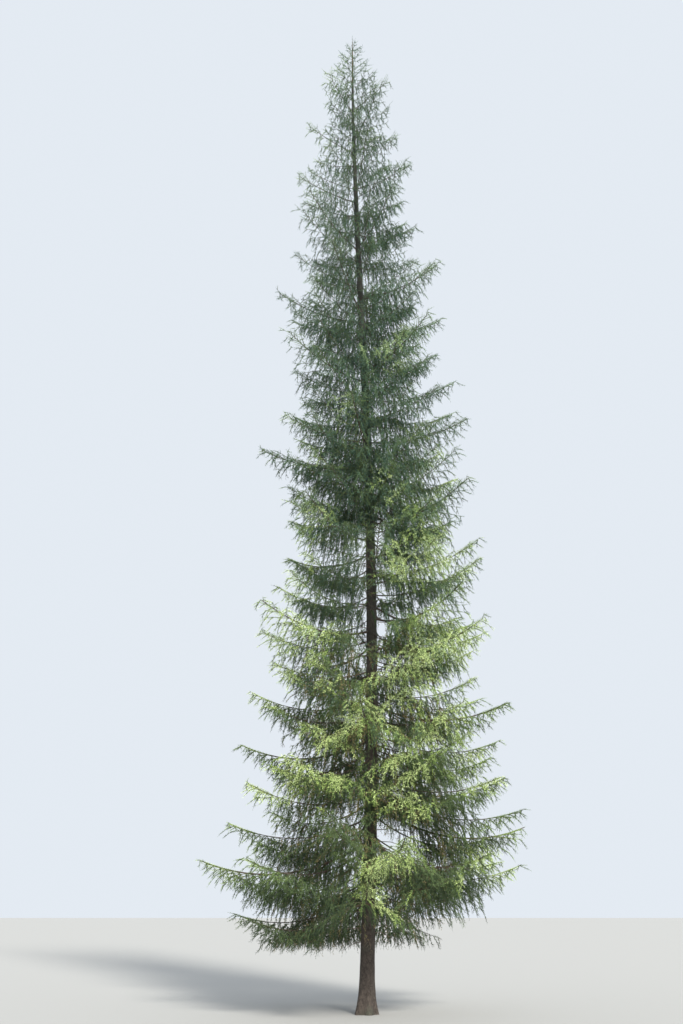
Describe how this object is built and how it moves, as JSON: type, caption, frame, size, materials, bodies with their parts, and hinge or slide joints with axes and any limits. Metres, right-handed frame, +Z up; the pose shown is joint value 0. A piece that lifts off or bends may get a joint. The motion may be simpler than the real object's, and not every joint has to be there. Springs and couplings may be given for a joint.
{
  "type": "spruce tree",
  "caption": "Tall forest-grown spruce with a straight swaying trunk, sagging boughs that turn up at their tips, hanging curtains of needle sprays and a narrow needled leader.",
  "frame": {"origin": "centre of the flat cut under the trunk, at ground level", "axes": "+Z up the tree; -Y towards the viewer of the picture; +X to the viewer's right"},
  "size_m": [5.1347, 4.9757, 18.397],
  "materials": {
    "trunk_bark": "rough scaly bark",
    "bough_bark": "rough thin bark",
    "needles": "satin dark green needles"
  },
  "bodies": {
    "root": {"trunk": "trunk_bark", "bough_01_1": "bough_bark", "bough_01_2": "bough_bark", "bough_01_3": "bough_bark", "bough_01_4": "bough_bark", "bough_02_1": "bough_bark", "bough_02_2": "bough_bark", "bough_02_3": "bough_bark", "bough_02_4": "bough_bark", "bough_03_1": "bough_bark", "bough_03_2": "bough_bark", "bough_03_3": "bough_bark", "bough_03_4": "bough_bark", "bough_04_1": "bough_bark", "bough_04_2": "bough_bark", "bough_04_3": "bough_bark", "bough_04_4": "bough_bark", "foliage_01_1": "needles", "foliage_01_2": "needles", "foliage_01_3": "needles", "foliage_01_4": "needles", "foliage_02_1": "needles", "foliage_02_2": "needles", "foliage_02_3": "needles", "foliage_02_4": "needles", "foliage_03_1": "needles", "foliage_03_2": "needles", "foliage_03_3": "needles", "foliage_03_4": "needles", "foliage_04_1": "needles", "foliage_04_2": "needles", "foliage_04_3": "needles", "foliage_04_4": "needles", "foliage_05_1": "needles", "foliage_05_2": "needles", "foliage_05_3": "needles", "foliage_05_4": "needles", "foliage_06_1": "needles", "foliage_06_2": "needles", "foliage_06_3": "needles", "foliage_06_4": "needles", "foliage_07_1": "needles", "foliage_07_2": "needles", "foliage_07_3": "needles", "foliage_07_4": "needles", "foliage_08_1": "needles", "foliage_08_2": "needles", "foliage_08_3": "needles", "foliage_08_4": "needles", "foliage_09_1": "needles", "foliage_09_2": "needles", "foliage_09_3": "needles", "foliage_09_4": "needles", "foliage_10_1": "needles", "foliage_10_2": "needles", "foliage_10_3": "needles", "foliage_11_1": "needles", "foliage_11_2": "needles", "foliage_11_3": "needles", "leader": "needles"}
  },
  "joints": []
}
